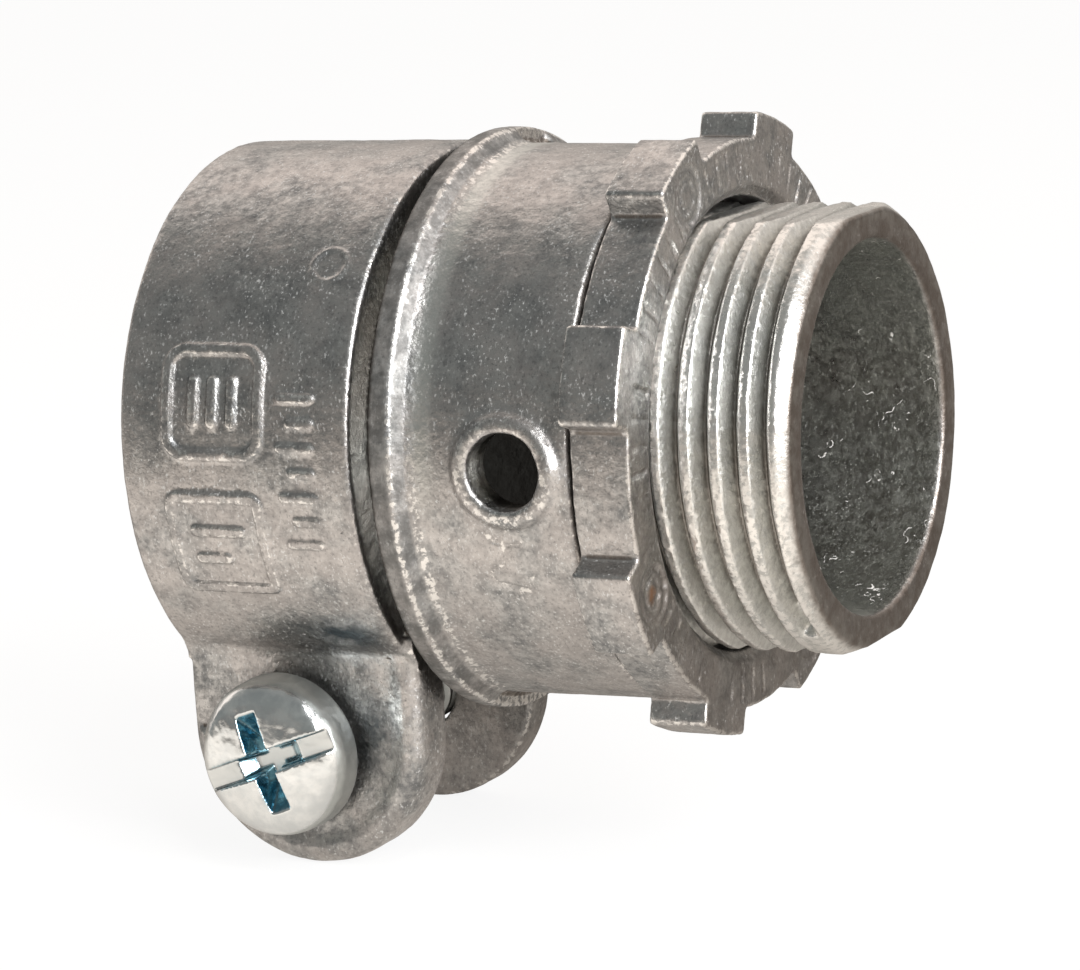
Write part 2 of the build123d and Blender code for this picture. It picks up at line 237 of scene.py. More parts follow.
class Skin:
    """A remeshed copy of CAD shapes, with what the finishing steps need to know of it."""

    def __init__(self, bm, name, voxel):
        self.mesh = evaluated(mesh_of(bm, name), name, "REMESH", mode="VOXEL", voxel_size=voxel)
        self.name = name
        self.voxel = voxel
        self.places = read_mesh(self.mesh)[0]
        self.edges = read_edges(self.mesh)
        self.counts = np.maximum(np.bincount(self.edges.ravel(), minlength=len(self.places)), 1)

    def normals(self):
        """Vertex normals at the present places."""
        write_places(self.mesh, self.places)
        return read_normals(self.mesh)

    def smooth(self, rounds):
        """Smooth everywhere."""
        share = 0.5
        for _ in range(rounds):
            mean = neighbour_mean(self.places, self.edges, self.counts)
            self.places += share * (mean - self.places)

    def snap(self, radii):
        """Pull what lies close to these radii about X, and faces that way, onto them."""
        reach = 0.03 * MM
        normals = self.normals()
        radius = np.hypot(self.places[:, 1], self.places[:, 2])
        out = self.places[:, 1:] / radius[:, None]
        facing = np.abs((normals[:, 1:] * out).sum(axis=1)) > 0.97
        for value in radii:
            near = facing & (np.abs(radius - value) < reach)
            self.places[near, 1:] = out[near] * value

    def push(self, height):
        """Move each vertex along its normal."""
        self.places += self.normals() * height[:, None]

    def bend(self, rounds):
        """Signed curvature, positive on outside edges, averaged over some rounds of neighbours."""
        normals = self.normals()
        mean = neighbour_mean(self.places, self.edges, self.counts)
        bent = ((self.places - mean) * normals).sum(axis=1) / self.voxel
        for _ in range(rounds):
            bent = 0.5 * bent + 0.5 * neighbour_mean(bent, self.edges, self.counts)
        return bent

    def smooth_where(self, share, rounds):
        """Smooth only where share is above zero."""
        for _ in range(rounds):
            mean = neighbour_mean(self.places, self.edges, self.counts)
            self.places += share[:, None] * (mean - self.places)

    def spread(self, values, rounds):
        """Values softened by some rounds of their neighbours."""
        for _ in range(rounds):
            values = 0.4 * values + 0.6 * neighbour_mean(values, self.edges, self.counts)
        return values

    def angle(self):
        """Degrees round X, from 0 at -Y towards +Z."""
        return np.degrees(np.arctan2(self.places[:, 2], -self.places[:, 1]))

    def radius(self):
        """Distance from the X axis."""
        return np.hypot(self.places[:, 1], self.places[:, 2])

    def finish(self, masks):
        """Write places and masks, thin the mesh if it is too fine, and make its object."""
        write_places(self.mesh, self.places)
        for mask, values in masks.items():
            layer = self.mesh.attributes.new(mask, "FLOAT", "POINT")
            layer.data.foreach_set("value", np.clip(values, 0.0, 1.0).astype(np.float32))
        faces = len(read_mesh(self.mesh)[1])
        if faces > MOST_FACES:
            settings = {"ratio": MOST_FACES / faces, "use_collapse_triangulate": True}
            self.mesh = evaluated(self.mesh, self.name, "DECIMATE", **settings)
        self.mesh.name = self.name
        self.mesh.polygons.foreach_set("use_smooth", np.ones(len(self.mesh.polygons), dtype=bool))
        self.mesh.update()
        piece = bpy.data.objects.new(self.name, self.mesh)
        bpy.context.scene.collection.objects.link(piece)
        return piece


# ---------------------------------------------------------------- raised marks

def box_outline(u, v, half, corner):
    """Distance from the outline of a square with round corners."""
    across = np.abs(u) - half + corner
    along = np.abs(v) - half + corner
    outside = np.hypot(np.maximum(across, 0), np.maximum(along, 0))
    return np.abs(outside + np.minimum(np.maximum(across, along), 0) - corner)


def bar(u, v, u0, v0, u1, v1):
    """Distance from a straight stroke."""
    du, dv = u1 - u0, v1 - v0
    share = np.clip(((u - u0) * du + (v - v0) * dv) / (du * du + dv * dv), 0, 1)
    return np.hypot(u - u0 - share * du, v - v0 - share * dv)


# The marks: heights and widths of the strokes, then each mark's place along X and its degrees round X
MARK_HEIGHT = 0.25 * MM
STROKE = 0.26 * MM
STROKE_EDGE = 0.16 * MM
UPPER_PANEL = (-22.9 * MM, 12.1)
LOWER_PANEL = (-23.2 * MM, -17.6)
CIRCLE = (-16.6 * MM, 41.3)
TICKS = 7
FIRST_TICK_ANGLE = 13.2
TICK_STEP = 5.0
TICK_FRONT_X = -16.4 * MM
TICK_BACK_X = (-18.4 * MM, -17.7 * MM)


def ring_marks(x, along):
    """Height of the generic raised marks on the clamp ring, by place along X and round the ring."""
    height = np.zeros(len(x))

    def stroke(distance, share=1.0, width=STROKE):
        nonlocal height
        height = np.maximum(height, share * MARK_HEIGHT * smoothstep(width + STROKE_EDGE, width, distance))

    def from_middle(mark):
        return x - mark[0], along - RING_R * math.radians(mark[1])

    half, corner, bar_half, bar_gap = 3.1 * MM, 1.2 * MM, 1.2 * MM, 1.3 * MM
    u, v = from_middle(UPPER_PANEL)
    stroke(box_outline(u, v, half, corner))
    for offset in (-bar_gap, 0.0, bar_gap):
        stroke(bar(u, v, offset, -bar_half, offset, bar_half))
    half, corner, line_v, line_half, short_end = 3.0 * MM, 0.6 * MM, 0.9 * MM, 1.5 * MM, 0.2 * MM
    u, v = from_middle(LOWER_PANEL)
    stroke(box_outline(u, v, half, corner), 0.75)
    stroke(bar(u, v, -line_half, line_v, line_half, line_v), 0.75)
    stroke(bar(u, v, -line_half, -line_v, short_end, -line_v), 0.75)
    for tick in range(TICKS):
        v0 = RING_R * math.radians(FIRST_TICK_ANGLE - TICK_STEP * tick)
        stroke(bar(x, along, TICK_BACK_X[tick % 2], v0, TICK_FRONT_X, v0), 0.8 - 0.05 * tick, 0.2 * MM)
    circle_r = 1.1 * MM
    u, v = from_middle(CIRCLE)
    stroke(np.abs(np.hypot(u, v) - circle_r), 0.35, 0.08 * MM)
    return height


# ---------------------------------------------------------------- pieces

def surface_noise(skin, seed, coarse=0.022 * MM, fine=0.010 * MM):
    """The uneven skin of a die casting."""
    skin.push(
        coarse * lattice_noise(skin.places, 2.6 * MM, seed)
        + 0.6 * coarse * lattice_noise(skin.places, 1.1 * MM, seed + 1)
        + fine * lattice_noise(skin.places, 0.42 * MM, seed + 2)
    )


def edge_masks(skin):
    """Outside edges painted bright, partly rubbed metal and partly painted highlight; inside corners
    painted dark as painted shade.
    """
    sharp, hollow = 0.11, 0.07
    bent = skin.bend(1)
    # outside edges are painted bright (rubbed metal and painted highlight), inside corners dark (painted
    # shade)
    wear_and_highlight = smoothstep(0.3 * sharp, sharp, bent)
    painted_shade = smoothstep(0.3 * hollow, hollow, -bent)
    return wear_and_highlight, painted_shade


CASTING_VOXEL = 0.15 * MM
NUT_VOXEL = 0.12 * MM
SCREW_VOXEL = 0.085 * MM
SPLIT_X = FLANGE_BACK_X - 0.05 * MM
SPLIT_OVERLAP = 0.4 * MM
THREAD_FOOT_R = 12.0 * MM
HOLE_RIM_R = 2.75 * MM
INNER_R = 15.9 * MM


def groove_distance(places):
    """Distance along X from the middle of the thread's groove, and where that groove runs."""
    run_out = 0.03
    around = np.arctan2(places[:, 1], -places[:, 2]) / math.tau
    turns = (places[:, 0] - THREAD_START_X) / THREAD_PITCH - around
    nearest = np.round(turns)
    run = nearest + around
    inside = (run > run_out) & (run < THREAD_TURNS - run_out)
    return np.abs(turns - nearest) * THREAD_PITCH, inside


def sharpen_thread(skin):
    """Give the remeshed thread back its straight flanks; shares of crest and of root."""
    start_x, end_x = 0.9 * MM, 11.3 * MM
    crest_from_r = 12.4 * MM
    most_moved = 0.45 * MM
    distance, running = groove_distance(skin.places)
    radius = skin.radius()
    flank = math.tan(math.radians(GROOVE_HALF_ANGLE))
    rise = np.maximum(distance - GROOVE_ROOT / 2, 0.0) / flank
    wanted = np.minimum(THREAD_R - THREAD_DEPTH + rise, THREAD_R)
    steep = np.abs(skin.places[:, 2]) / radius
    wanted = np.minimum(wanted, THREAD_FLAT_Z / np.maximum(steep, 0.01))
    nose = (skin.places[:, 0] > start_x) & (skin.places[:, 0] < end_x) & (radius > THREAD_FOOT_R)
    part = nose & running & (np.abs(radius - wanted) < most_moved)
    skin.places[part, 1:] *= (wanted[part] / radius[part])[:, None]
    half = GROOVE_ROOT / 2 + THREAD_DEPTH * flank
    crest = smoothstep(half - 0.08 * MM, half + 0.05 * MM, distance) * nose * (radius > crest_from_r)
    # groove bottoms, painted dark brown later as painted shade
    root_shade = smoothstep(0.20 * MM, 0.08 * MM, distance) * nose * running
    return crest, root_shade


def from_hole(places):
    """Distance from the inspection hole's axis on the side where the hole is, far on the other."""
    far_side = 1.0
    return np.hypot(places[:, 0] - HOLE_X, places[:, 2]) + (places[:, 1] > 0) * far_side


def flange_masks(x, radius):
    """The flange's rim line, painted bright as rubbed metal and a painted highlight; the dark sloped face
    in front of it, painted shade; and a painted highlight band at the foot of that slope.
    """
    off_sleeve = radius > SLEEVE_R
    rim_x = FLANGE_FRONT_X + 0.05 * MM
    rim = smoothstep(0.22 * MM, 0.08 * MM, np.abs(x - rim_x)) * off_sleeve
    toe_highlight = smoothstep(0.4 * MM, 0.1 * MM, np.abs(x - TOE_BAND_X)) * (radius > SLEEVE_R - 0.2 * MM)
    bevel_shade = smoothstep(0.08 * MM, 0.2 * MM, np.abs(x - FLANGE_FRONT_X - 0.02 * MM))
    bevel_shade = bevel_shade * smoothstep(FLANGE_TOE_X + 0.1 * MM, FLANGE_TOE_X - 0.05 * MM, x)
    return rim, toe_highlight, bevel_shade


def flow_creases(places, x, radius, angle):
    """Crease lines where the metal ran together, in one patch below the inspection hole."""
    middle_x, middle_angle, half_angle = -4.8 * MM, -20.0, 4.2
    patch = smoothstep(2.6, 1.6, np.hypot((x - middle_x) / MM, (angle - middle_angle) / half_angle))
    patch = patch * (radius > SLEEVE_R - 0.5 * MM)
    return patch * smoothstep(0.16, 0.03, np.abs(lattice_noise(places, 1.3 * MM, 19)))


def keep_clear_of_nut(skin):
    """Flatten the shoulder and the neck, so that they clear the locknut where it comes closest."""
    slack = 0.015 * MM
    neck_end_x, neck_slack = 0.7 * MM, 0.03 * MM
    radius = skin.radius()
    shoulder = (radius > THREAD_R + 0.02 * MM) & (np.abs(skin.places[:, 0]) < 0.5 * MM)
    skin.places[shoulder, 0] = np.minimum(skin.places[shoulder, 0], -slack)
    neck_r = THREAD_R - neck_slack * (skin.places[:, 0] < neck_end_x)
    proud = (skin.places[:, 0] > 0.0) & (radius > neck_r)
    skin.places[proud, 1:] *= (neck_r[proud] / radius[proud])[:, None]


def make_casting():
    """Threaded nose, sleeve and flange."""
    bm = cad_bmesh("body_casting")
    cut_at(bm, SPLIT_X, True)
    skin = Skin(bm, "casting", CASTING_VOXEL)
    skin.snap((THREAD_R, THROAT_R, SOCKET_R, FLANGE_R))
    skin.smooth(3)
    near_hole = smoothstep(4.2 * MM, 3.3 * MM, from_hole(skin.places))
    skin.smooth_where(0.6 * near_hole, 14)
    crest, root_shade = sharpen_thread(skin)
    wear_and_highlight, painted_shade = edge_masks(skin)
    # x follows later moves of the vertices, radius and angle stay as they are here
    x, radius, angle = skin.places[:, 0], skin.radius(), skin.angle()
    thread = (x > 0.2 * MM) * (radius > THREAD_FOOT_R) * 1.0
    # thread crests painted bright: rubbed metal and a painted highlight along each crest
    wear_and_highlight = np.where(thread > 0, 0.9 * crest, wear_and_highlight)
    painted_shade = painted_shade * (1.0 - thread)
    outside = radius > SLEEVE_R - 0.5 * MM
    # sheen: a painted highlight, a pale soft band round the upper sleeve in front of the flange's foot
    sheen = smoothstep(0.9 * MM, 0.2 * MM, np.abs(x - SHEEN_X)) * smoothstep(-15.0, 5.0, angle) * outside
    off_rim = np.abs(from_hole(skin.places) - HOLE_RIM_R)
    hole_rim = smoothstep(0.6 * MM, 0.2 * MM, off_rim) * (radius > SLEEVE_R - 0.6 * MM)
    wear_and_highlight = np.maximum(wear_and_highlight, 0.4 * hole_rim)
    rim, toe_highlight, bevel_shade = flange_masks(x, radius)
    wear_and_highlight = wear_and_highlight * (1.0 - 0.8 * (x < FLANGE_FRONT_X + 0.6 * MM))
    # the flange's rim line (rubbed metal and painted highlight) and the painted highlight band at the
    # flange's foot join the bright edges
    wear_and_highlight = np.maximum(wear_and_highlight, np.maximum(0.7 * rim, 0.5 * toe_highlight))
    skin.push(0.04 * MM * crest * lattice_noise(skin.places, 0.5 * MM, 17))
    creases = flow_creases(skin.places, x, radius, angle)
    skin.push(-0.07 * MM * creases)
    wear_and_highlight = np.maximum(wear_and_highlight, 0.55 * creases)
    surface_noise(skin, 11)
    radius = skin.radius()
    keep_clear_of_nut(skin)
    throat = (radius < THREAD_FOOT_R) * (x > STOP_X)
    socket = (radius < INNER_R) * (x < STOP_X + 0.5 * MM)
    flange_back = x < FLANGE_BACK_X + 0.15 * MM
    masks = {
        "wear_and_highlight": wear_and_highlight,
        "painted_shade": painted_shade,
        "root_shade": root_shade,
        # the thread mask also carries the painted sheen highlight band
        "thread": np.maximum(thread, sheen),
        # the flange's sloped face, painted dark as painted shade
        "bevel_shade": bevel_shade * (radius > SLEEVE_R),
        "throat": throat * smoothstep(11.7 * MM, 11.4 * MM, x),
        "land": smoothstep(9.9 * MM, 10.6 * MM, x) * smoothstep(12.6 * MM, 12.9 * MM, radius),
        # the end face at the opening: a darker brown tone and painted shade
        "face_tone_and_shade": smoothstep(11.55 * MM, 11.8 * MM, x),
        # inside: the socket beyond the stop and the flange's back face, painted near black as painted
        # shade
        "inside": skin.spread(np.maximum(socket, flange_back) * 1.0, 1),
    }
    piece = skin.finish(masks)
    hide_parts("body_casting")
    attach(piece, "body")
    return piece


def seam_filler(bm):
    """A wedge that closes the thin seam between the two halves of the ring."""
    half_angle, inset, end_inset = 0.9, 0.03 * MM, 0.4 * MM
    sides = (
        (-half_angle, SOCKET_R + inset),
        (half_angle, SOCKET_R + inset),
        (half_angle, RING_R - inset),
        (-half_angle, RING_R - inset),
    )
    corners = []
    for x in (STRAP_LOW[0] + end_inset, RING_FRONT_X - end_inset):
        for angle, size in sides:
            turn = math.radians(HINGE_ANGLE + angle)
            corners.append(bm.verts.new((x, -size * math.cos(turn), size * math.sin(turn))))
    for face in ((0, 1, 2, 3), (7, 6, 5, 4), (0, 4, 5, 1), (1, 5, 6, 2), (2, 6, 7, 3), (3, 7, 4, 0)):
        bm.faces.new([corners[k] for k in face])


def add_lip(skin, angle):
    """Casting flash along the front inner edge of the ring's near half."""
    height = 0.35 * MM
    from_angle, to_angle = -60, 100
    x, radius = skin.places[:, 0], skin.radius()
    lip = smoothstep(RING_FRONT_X - 0.7 * MM, RING_FRONT_X - 0.25 * MM, x)
    lip = lip * smoothstep(SOCKET_R + 0.45 * MM, SOCKET_R + 0.05 * MM, radius)
    lip = lip * (angle < to_angle) * (angle > from_angle) * (x < RING_FRONT_X + 0.3 * MM)
    skin.places[:, 1:] *= (1.0 - height * lip / skin.radius())[:, None]


def smooth_ear_seat(skin):
    """Even out the near ear's face, inside its rounded rim."""
    face_y, top_z = -10.4 * MM, -12.6 * MM
    x, y, z = skin.places.T
    from_foot = np.hypot(x - EAR_FOOT_X, np.minimum(z - EAR_FOOT_Z, 0.0))
    seat = smoothstep(EAR_R - 0.9 * MM, EAR_R - 1.4 * MM, from_foot) * (y < face_y) * (z < top_z)
    skin.smooth_where(0.6 * seat, 30)


def shade_patch_mask(places, along):
    """Painted shade: a dark patch on the ring above the near ear, and a painted shadow on the ear beside
    the screw head.
    """
    x, y, z = places.T
    middle_x, middle_angle = -17.4 * MM, -41.0
    beside_x, beside_z = EAR_FOOT_X + 4.6 * MM, EAR_FOOT_Z + 0.3 * MM
    above = np.hypot((x - middle_x) / 3.2, (along - RING_R * math.radians(middle_angle)) / 1.8)
    beside = np.hypot((x - beside_x) / 1.6, (z - beside_z) / 2.6)
    beside = smoothstep(1.3 * MM, 0.3 * MM, beside) * (y < -10.0 * MM)
    return np.maximum(smoothstep(1.4 * MM, 0.2 * MM, above), 0.8 * beside)


def make_clamp_ring():
    """The split ring with both ears, one piece with the casting behind its flange."""
    bm = cad_bmesh("body_casting")
    for vertex in cut_at(bm, SPLIT_X, False):
        vertex.co.x += SPLIT_OVERLAP
    strap = cad_bmesh("clamp_strap")
    bm.from_mesh(mesh_of(strap, "strap_copy"))
    seam_filler(bm)
    bmesh.ops.recalc_face_normals(bm, faces=bm.faces)
    skin = Skin(bm, "clamp_ring", CASTING_VOXEL)
    skin.snap((RING_R, SOCKET_R))
    skin.smooth(3)
    smooth_ear_seat(skin)
    wear_and_highlight, painted_shade = edge_masks(skin)
    # x follows later moves of the vertices, radius and angle stay as they are here
    x, radius, angle = skin.places[:, 0], skin.radius(), skin.angle()
    along = RING_R * np.radians(angle)
    on_ring = (radius > RING_R - 0.1 * MM) * (angle > -38) * (angle < 60)
    marks = ring_marks(x, along) * on_ring
    skin.push(marks)
    surface_noise(skin, 31)
    add_lip(skin, angle)
    worn_marks = smoothstep(0.05, 0.12, skin.bend(1)) * (marks > 0)
    x, y, z = skin.places.T
    front_face = (x > RING_FRONT_X - 0.2 * MM) * (z > -12.5 * MM) * (radius < RING_R - 0.2 * MM)
    far_ear = (y > 3.0 * MM) * (z < -14.5 * MM)
    masks = {
        "wear_and_highlight": np.maximum(wear_and_highlight, 0.6 * worn_marks),
        # painted shade: inside corners, the far ear and the ring's front face inside the slot
        "painted_shade": np.maximum(painted_shade, np.maximum(0.35 * far_ear, 0.35 * front_face)),
        # painted shade: a dark patch above the near ear and a painted shadow beside the screw head
        "shade_patch": shade_patch_mask(skin.places, along),
        # inside: the ring's inner face, painted near black as painted shade
        "inside": (radius < SOCKET_R + 0.3 * MM) * 1.0,
    }
    piece = skin.finish(masks)
    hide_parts("clamp_strap")
    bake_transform(piece)
    return piece


def face_strokes(skin, face):
    """Shallow radial strokes pressed into the nut's face; how worn their edges are."""
    strokes, depth = 64, 0.09 * MM
    radius = skin.radius()
    band = smoothstep(14.2 * MM, 14.6 * MM, radius) * smoothstep(16.7 * MM, 16.2 * MM, radius)
    turn = skin.angle() * strokes / 360.0 + 0.25 * lattice_noise(skin.places, 3.0 * MM, 57)
    stroke = smoothstep(0.22, 0.05, np.abs(turn - np.round(turn)))
    patchy = smoothstep(-0.3, 0.4, lattice_noise(skin.places, 2.2 * MM, 58))
    skin.push(-depth * face * band * stroke * patchy)
    return face * band * smoothstep(0.28, 0.12, np.abs(stroke - 0.35)) * patchy


def ejector_marks(skin, face):
    """Two rings in each of the four round marks; the rust in the last mark."""
    marks, first_angle, place_r = 4, 63.5, 16.1 * MM
    outer_r, inner_r, depth = 1.6 * MM, 0.85 * MM, 0.10 * MM
    for mark in range(marks):
        turn = math.radians(first_angle + mark * 360.0 / marks)
        away = np.hypot(
            skin.places[:, 1] + place_r * math.cos(turn),
            skin.places[:, 2] - place_r * math.sin(turn),
        )
        rings = smoothstep(0.3 * MM, 0.08 * MM, np.abs(away - outer_r))
        rings = np.maximum(rings, 0.8 * smoothstep(0.25 * MM, 0.08 * MM, np.abs(away - inner_r)))
        skin.push(-depth * face * rings)
    return face * smoothstep(0.75 * MM, 0.25 * MM, away)


def make_locknut():
    """Die-cast locknut with a marked face, painted darker towards the bottom of that face as painted
    shade.
    """
    skin = Skin(cad_bmesh("locknut"), "nut", NUT_VOXEL)
    skin.snap((NUT_LUG_R, NUT_BASE_R, NUT_BORE_R))
    skin.smooth(2)
    wear_and_highlight, painted_shade = edge_masks(skin)
    face = smoothstep(NUT_FACE_X - 0.3 * MM, NUT_FACE_X - 0.1 * MM, skin.places[:, 0])
    wear_and_highlight = np.maximum(wear_and_highlight, 0.55 * face_strokes(skin, face))
    rust = ejector_marks(skin, face)
    surface_noise(skin, 51, 0.03 * MM, 0.015 * MM)
    skin.places[:, 0] = np.maximum(skin.places[:, 0], NUT_BACK_X + 0.015 * MM)
    chamfer, slack = 0.25 * MM, 0.02 * MM
    bore_r = NUT_BORE_R + np.where(skin.places[:, 0] < NUT_BACK_X + 0.2 * MM, chamfer, slack)
    skin.places[:, 1:] *= np.maximum(bore_r / skin.radius(), 1.0)[:, None]
    # painted shade: the nut's face painted darker towards its bottom
    low_face_shade = 0.5 * face * smoothstep(8.0 * MM, -4.0 * MM, skin.places[:, 2])
    masks = {"wear_and_highlight": wear_and_highlight, "painted_shade": painted_shade, "rust": rust, "face_tone_and_shade": low_face_shade}
    piece = skin.finish(masks)
    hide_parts("locknut")
    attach(piece, "nut")
    return piece


def make_screw():
    """Plated pan head screw."""
    skin = Skin(cad_bmesh("clamp_screw"), "screw", SCREW_VOXEL)
    skin.smooth(1)
    wear_and_highlight, painted_shade = edge_masks(skin)
    skin.push(0.006 * MM * lattice_noise(skin.places, 0.9 * MM, 71))
    recess_depth, recess_r, rim_depth = 2.2 * MM, 3.7 * MM, 0.12 * MM
    side_top, side_end, shank_from = 1.15 * MM, 3.6 * MM, 3.7 * MM
    facing = skin.normals()[:, 1]
    reach = np.hypot(skin.places[:, 0] - SCREW_X, skin.places[:, 2] - SCREW_Z)
    depth = skin.places[:, 1] - SCREW_LOW[1]
    inner = (depth < recess_depth) * (reach < HEAD_R - 0.2 * MM)
    floor = inner * (facing < -0.97) * (depth > 1.0 * MM)
    side = inner * (facing > -0.75) * (depth > rim_depth) * (reach < recess_r)
    # the head's side and the shank, painted darker in the material as painted shade
    flank = (reach > HEAD_R - 0.35 * MM) * (depth > side_top) * (depth < side_end)
    shank = depth > shank_from
    masks = {
        "wear_and_highlight": wear_and_highlight,
        "painted_shade": painted_shade,
        "recess": skin.spread(side * 1.0, 2),
        "floor": skin.spread(floor * 1.0, 2),
        "flank": skin.spread(np.maximum(flank, shank) * 1.0, 4),
    }
    piece = skin.finish(masks)
    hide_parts("clamp_screw")
    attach(piece, "screw")
    return piece


# ---------------------------------------------------------------- materials

class Tree:
    """Short calls for building the nodes of one material, or of the world."""

    def __init__(self, owner, place="Object"):
        owner.use_nodes = True
        self.owner = owner
        self.tree = owner.node_tree
        self.tree.nodes.clear()
        self.place = self.add("ShaderNodeTexCoord").outputs[place]

    def add(self, kind, **settings):
        node = self.tree.nodes.new(kind)
        for key, value in settings.items():
            setattr(node, key, value)
        return node

    def put(self, value, socket):
        """Link an output to this input, or set the input's value."""
        if isinstance(value, bpy.types.NodeSocket):
            self.tree.links.new(value, socket)
        elif value is not None:
            socket.default_value = value

    def noise(self, size_mm, detail=2.0, rough=0.5, seed=0.0, stretch=(1, 1, 1)):
        moved = self.add("ShaderNodeMapping")
        self.put(self.place, moved.inputs["Vector"])
        moved.inputs["Location"].default_value = (seed, seed * 0.7, seed * 0.3)
        moved.inputs["Scale"].default_value = stretch
        node = self.add("ShaderNodeTexNoise")
        self.put(moved.outputs[0], node.inputs["Vector"])
        node.inputs["Scale"].default_value = 1.0 / (size_mm * MM)
        node.inputs["Detail"].default_value = detail
        node.inputs["Roughness"].default_value = rough
        return node.outputs["Fac"]

    def mask(self, name):
        return self.add("ShaderNodeAttribute", attribute_name=name).outputs["Fac"]

    def math(self, operation, a, b=None, c=None):
        node = self.add("ShaderNodeMath", operation=operation)
        for value, socket in zip((a, b, c), node.inputs):
            self.put(value, socket)
        return node.outputs[0]

    def step(self, value, low, high, to_low=0.0, to_high=1.0):
        node = self.add("ShaderNodeMapRange", interpolation_type="SMOOTHSTEP")
        for given, socket in zip((value, low, high, to_low, to_high), node.inputs):
            self.put(given, socket)
        return node.outputs[0]

    def mix(self, share, a, b):
        node = self.add("ShaderNodeMix", data_type="RGBA")
        self.put(share, node.inputs[0])
        self.put(a if isinstance(a, bpy.types.NodeSocket) else (*a, 1.0), node.inputs[6])
        self.put(b if isinstance(b, bpy.types.NodeSocket) else (*b, 1.0), node.inputs[7])
        return node.outputs[2]

    def blend(self, share, a, b):
        """Numbers mixed by a share."""
        node = self.add("ShaderNodeMix", data_type="FLOAT")
        self.put(share, node.inputs[0])
        self.put(a, node.inputs[2])
        self.put(b, node.inputs[3])
        return node.outputs[0]

    def paint(self, color, over, share, amount):
        """A color with another laid over it, by a share times an amount."""
        return self.mix(self.math("MULTIPLY", share, amount), color, over)

    def bump(self, height, depth_mm, under=None):
        node = self.add("ShaderNodeBump")
        self.put(height, node.inputs["Height"])
        node.inputs["Distance"].default_value = depth_mm * MM
        if under is not None:
            self.put(under, node.inputs["Normal"])
        return node.outputs[0]

    def ramp(self, share, stops):
        """Color by a share from 0 to 1, through these stops."""
        node = self.add("ShaderNodeValToRGB")
        self.put(share, node.inputs[0])
        points = node.color_ramp.elements
        while len(points) < len(stops):
            points.new(0.5)
        for point, (place, color) in zip(points, stops):
            point.position = place
            point.color = (*color, 1.0)
        return node.outputs[0]

    def by_camera(self, others, camera):
        """One shader for the camera's rays and another for all others."""
        node = self.add("ShaderNodeMixShader")
        self.put(self.add("ShaderNodeLightPath").outputs["Is Camera Ray"], node.inputs[0])
        self.put(others, node.inputs[1])
        self.put(camera, node.inputs[2])
        return node.outputs[0]

    def metal(self, color, roughness, normal, metallic=1.0):
        shader = self.add("ShaderNodeBsdfPrincipled")
        self.put(metallic, shader.inputs["Metallic"])
        self.put(color, shader.inputs["Base Color"])
        self.put(roughness, shader.inputs["Roughness"])
        self.put(normal, shader.inputs["Normal"])
        out = self.add("ShaderNodeOutputMaterial")
        self.put(shader.outputs[0], out.inputs["Surface"])
        return self.owner


# Colors of the cast zinc, of what lies on it, of painted shade and highlight, and of its masks
COOL_DARK = (0.23, 0.235, 0.24)
COOL_MID = (0.59, 0.585, 0.575)
WARM = (0.60, 0.56, 0.54)
SPECK = (0.88, 0.89, 0.89)
PIT = (0.17, 0.17, 0.175)
BEVEL_SHADE = (0.16, 0.16, 0.155)
THROAT = (0.60, 0.61, 0.57)
THREAD_AND_SHEEN = (0.76, 0.765, 0.735)
BRIGHT = (0.93, 0.91, 0.88)
SHADE_BROWN = (0.10, 0.075, 0.055)
SHADE_PATCH = (0.07, 0.085, 0.095)
FACE_TONE_AND_SHADE = (0.19, 0.16, 0.14)
RUST = (0.42, 0.20, 0.09)
HOLLOW_SHADE = (0.05, 0.045, 0.04)

# Colors of the plated screw
PLATE_SHADE = (0.76, 0.79, 0.80)
PLATE_LIGHT = (0.92, 0.94, 0.94)
TEAL_SHADE = (0.10, 0.27, 0.36)
TEAL_LIGHT = (0.42, 0.66, 0.74)
FLANK_SHADE = (0.36, 0.38, 0.36)
SCREW_CORNER_SHADE = (0.08, 0.09, 0.10)
SLOT_FLOOR = (0.86, 0.88, 0.87)


def bare_zinc(t, seed, warmth, cloud, fine, grain):
    """Color of as-cast zinc: warm and cool blotches, stains, bright specks and dark pits; the specks."""
    blotch = t.step(t.noise(4.0, 4.0, 0.6, seed), 0.36 - warmth, 0.64 - warmth)
    stain = t.step(t.noise(1.7, 5.0, 0.7, seed + 8.3), 0.60, 0.74)
    group = t.step(t.noise(2.0, 4.0, 0.65, seed + 12.0), 0.36, 0.60, 0.2, 1.0)
    specks = t.math("MULTIPLY", t.step(grain, 0.58, 0.68), group)
    mottle = t.math("MULTIPLY_ADD", cloud, 0.5, t.math("MULTIPLY", fine, 0.5))
    color = t.mix(mottle, COOL_DARK, COOL_MID)
    color = t.paint(color, WARM, blotch, 0.6)
    color = t.paint(color, COOL_DARK, stain, 0.5)
    color = t.paint(color, SPECK, specks, 0.75)
    color = t.paint(color, PIT, t.step(grain, 0.42, 0.32), 0.45)
    return color, specks


def throat_scratches(t, seed, fine):
    """Share of thin broken scratches in the throat."""
    line = t.math("ABSOLUTE", t.math("SUBTRACT", t.noise(1.9, 2.0, 0.7, seed + 31.0), 0.53))
    broken = t.step(t.noise(2.6, 2.0, 0.5, seed + 37.0), 0.54, 0.60)
    scratch = t.math("MULTIPLY", t.step(line, 0.014, 0.006), broken)
    scratch = t.math("MULTIPLY", scratch, t.step(fine, 0.3, 0.6))
    return t.math("MULTIPLY", scratch, t.mask("throat"))


